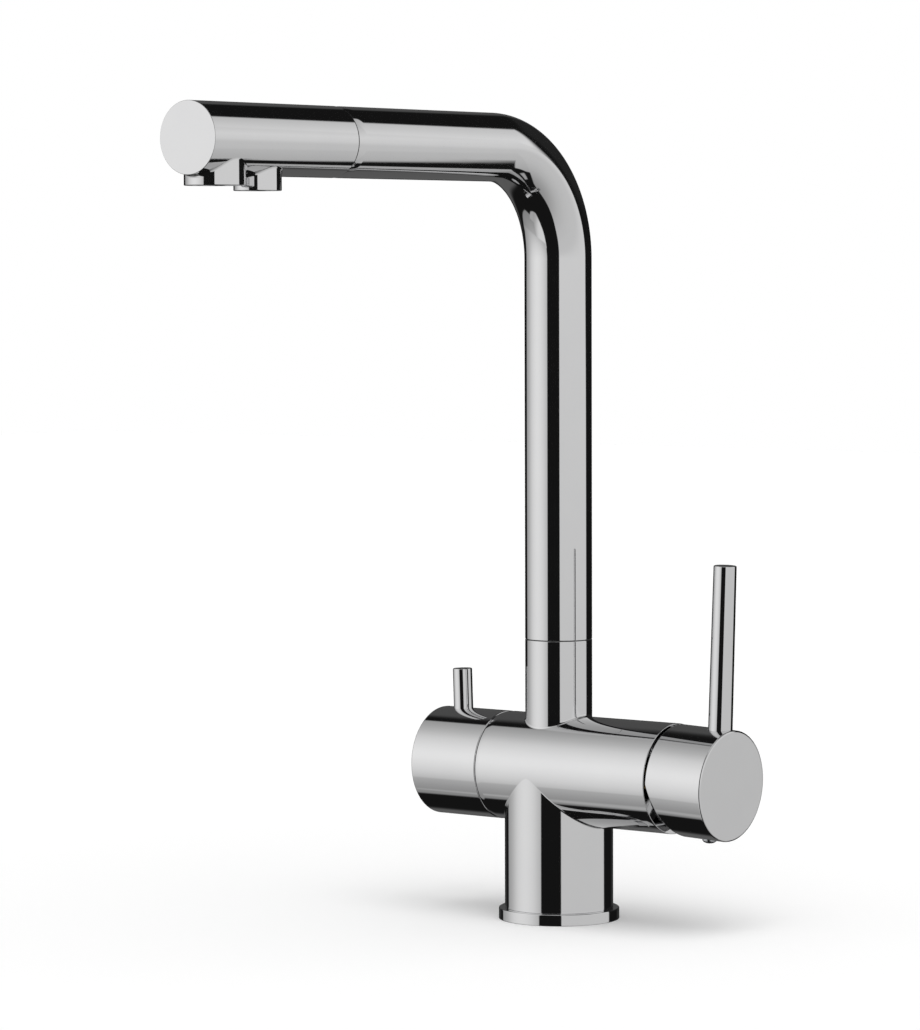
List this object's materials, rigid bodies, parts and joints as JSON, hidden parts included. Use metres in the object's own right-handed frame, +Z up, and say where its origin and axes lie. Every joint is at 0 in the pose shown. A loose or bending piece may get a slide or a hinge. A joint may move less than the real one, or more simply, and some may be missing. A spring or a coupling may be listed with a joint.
{
  "type": "three way filtered water tap",
  "caption": "Single-hole kitchen mixer with an L-shaped swivel spout, pull-out head with separate mixed and filtered outlets, side mixing lever and small filtered-water lever.",
  "frame": {"origin": "centre of the base ring's underside, on the deck", "axes": "+Z up along the column, the arm points along -Y, the mixing lever is at +X and the filtered-water lever at -X"},
  "size_m": [0.1509, 0.2553, 0.3354],
  "materials": {
    "polished_chrome": "polished chrome plate on brass",
    "satin_chrome": "satin chrome plate",
    "bare_brass": "machined brass",
    "stainless_steel": "turned stainless steel",
    "black_rubber": "moulded rubber",
    "alumina_ceramic": "lapped ceramic",
    "moulded_acetal": "moulded plastic",
    "slip_ring_nylon": "moulded nylon",
    "aerator_plastic": "moulded plastic",
    "braided_hose": "nylon braid",
    "filtered_water_tube": "polyethylene tube"
  },
  "bodies": {
    "tap_body": {"tap_body": "polished_chrome", "base_ring": "polished_chrome", "base_gasket": "black_rubber", "connection_block": "bare_brass", "block_seals": "black_rubber", "block_screws": "stainless_steel", "mixer_cartridge_base": "moulded_acetal", "mixer_base_seals": "black_rubber", "mixer_fixed_disc": "alumina_ceramic", "mixer_cartridge_housing": "moulded_acetal", "mixer_retaining_nut": "bare_brass", "mixer_shroud": "polished_chrome", "filter_valve_body": "bare_brass", "filter_valve_seal": "black_rubber", "filter_seat_seal": "black_rubber", "filter_fixed_disc": "alumina_ceramic", "swivel_stop_screw": "stainless_steel", "swivel_washer": "slip_ring_nylon"},
    "spout": {"spout_tube": "polished_chrome", "spout_spigot": "bare_brass", "spout_slip_rings": "slip_ring_nylon", "docking_collar": "moulded_acetal", "mixed_hose": "braided_hose", "filtered_hose": "filtered_water_tube", "mixed_hose_coupling": "bare_brass", "filtered_hose_coupling": "bare_brass"},
    "spray_head": {"handset_shell": "polished_chrome", "handset_tail": "moulded_acetal", "handset_tail_ring": "black_rubber", "handset_waterway": "moulded_acetal", "mixed_check_valve": "moulded_acetal", "filtered_check_valve": "moulded_acetal", "mixed_hose_ferrule": "bare_brass", "filtered_hose_ferrule": "bare_brass", "mixed_hose_run": "braided_hose", "filtered_hose_run": "filtered_water_tube", "mixed_outlet_ring": "satin_chrome", "mixed_aerator": "aerator_plastic", "mixed_aerator_seal": "black_rubber", "filtered_outlet_ring": "satin_chrome", "filtered_stream_former": "aerator_plastic", "filtered_former_seal": "black_rubber"},
    "temperature_carrier": {"mixer_spindle_guide": "moulded_acetal", "mixer_pivot_pin": "stainless_steel"},
    "mixer_lever": {"mixer_spindle": "bare_brass", "mixer_handle_cap": "polished_chrome", "mixer_lever_rod": "polished_chrome", "mixer_grub_screw": "stainless_steel", "mixer_screw_plug": "satin_chrome"},
    "mixer_disc": {"mixer_moving_disc": "alumina_ceramic", "mixer_disc_carrier": "moulded_acetal"},
    "filter_handle": {"filter_moving_disc": "alumina_ceramic", "filter_spindle": "bare_brass", "filter_spindle_seals": "black_rubber", "filter_spindle_clip": "stainless_steel", "filter_handle_cap": "polished_chrome", "filter_lever_rod": "polished_chrome", "filter_grub_screw": "stainless_steel"}
  },
  "joints": [
    {"name": "spout_swivel", "type": "hinge", "parent": "tap_body", "child": "spout", "pos_m": [0, 0, 0.1173], "axis": [0, 0, 1], "range_deg": [-70, 70]},
    {"name": "head_pullout", "type": "slide", "parent": "spout", "child": "spray_head", "axis": [0, -1, 0], "range_m": [0, 0.45], "deforming": ["mixed_hose_run", "filtered_hose_run"]},
    {"name": "mixer_temperature", "type": "hinge", "parent": "tap_body", "child": "temperature_carrier", "pos_m": [0.054, 0, 0.06275], "axis": [1, 0, 0], "range_deg": [-45, 45]},
    {"name": "mixer_flow", "type": "hinge", "parent": "temperature_carrier", "child": "mixer_lever", "pos_m": [0.054, 0, 0.06275], "axis": [0, 1, 0], "range_deg": [0, 16]},
    {"name": "mixer_disc_slide", "type": "slide", "parent": "temperature_carrier", "child": "mixer_disc", "axis": [0, 0, 1], "range_m": [0, 0.0036]},
    {"name": "filter_turn", "type": "hinge", "parent": "tap_body", "child": "filter_handle", "pos_m": [-0.05, 0, 0.06275], "axis": [1, 0, 0], "range_deg": [0, 90]}
  ],
  "couplings": [
    {"joint": "mixer_disc_slide", "follows": "mixer_flow", "m_per_rad": 0.012761}
  ]
}
